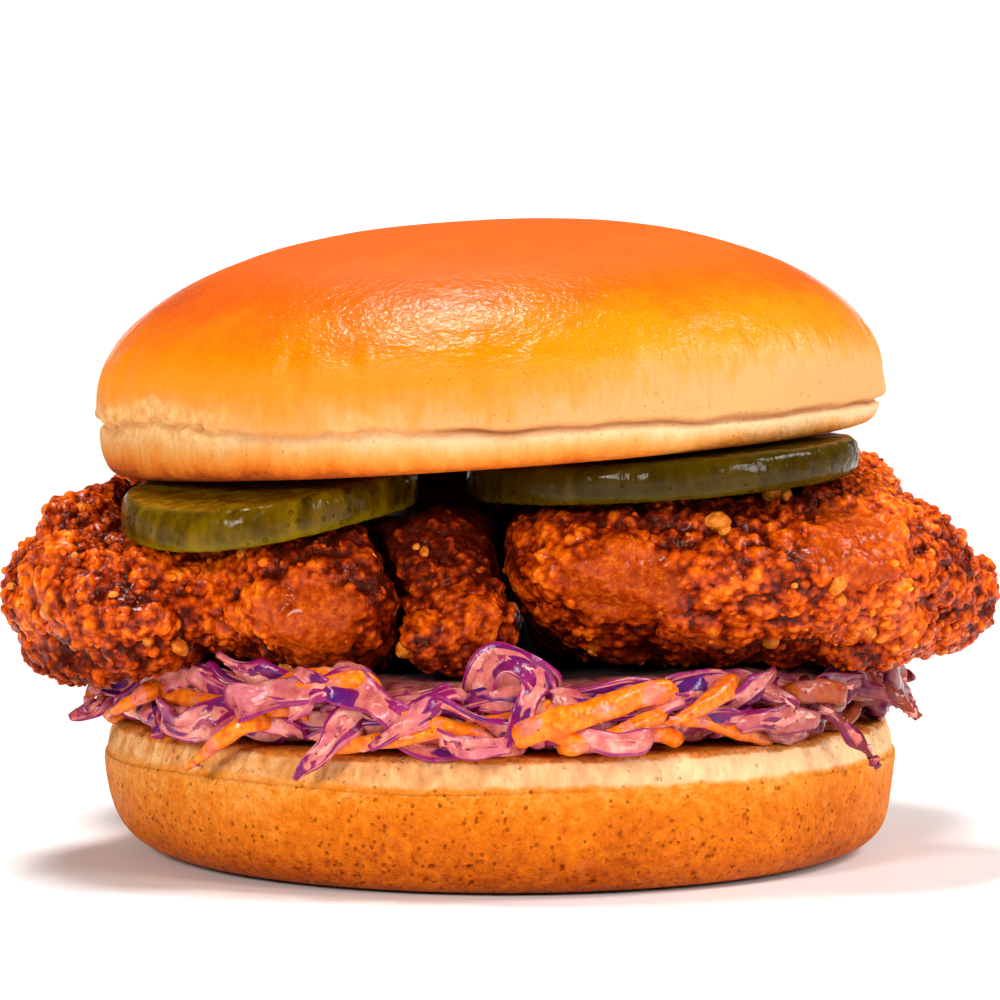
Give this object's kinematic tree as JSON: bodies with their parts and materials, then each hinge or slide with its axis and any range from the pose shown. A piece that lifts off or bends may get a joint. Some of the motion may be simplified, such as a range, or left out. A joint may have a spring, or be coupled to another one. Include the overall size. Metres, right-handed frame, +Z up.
{
  "type": "chicken burger",
  "caption": "Fried chicken burger: glazed bun cut in two round crusted chicken, pickle slices and pink cabbage and carrot slaw, standing on the bun's flat base.",
  "frame": {"origin": "middle of the bun's flat base, on the surface the burger stands on", "axes": "+Z up, -Y towards the side shown, +X to the right of it"},
  "size_m": [0.1308, 0.1125, 0.0841],
  "materials": {
    "glazed_crust": "egg-washed golden crust, glossy on the dome, pale and matt below the fold",
    "toasted_heel": "golden baked crust with fine pores and a pale crumb edge",
    "fried_crust": "craggy fried crust under a thin spiced oil glaze",
    "pickle": "wet olive green pickled cucumber",
    "dressed_slaw": "red cabbage and carrot strips in a creamy pink dressing"
  },
  "bodies": {
    "root": {"bun_crown": "glazed_crust", "bun_heel": "toasted_heel", "chicken_left": "fried_crust", "chicken_middle": "fried_crust", "chicken_right": "fried_crust", "pickle_left": "pickle", "pickle_right": "pickle", "slaw": "dressed_slaw"}
  },
  "joints": []
}
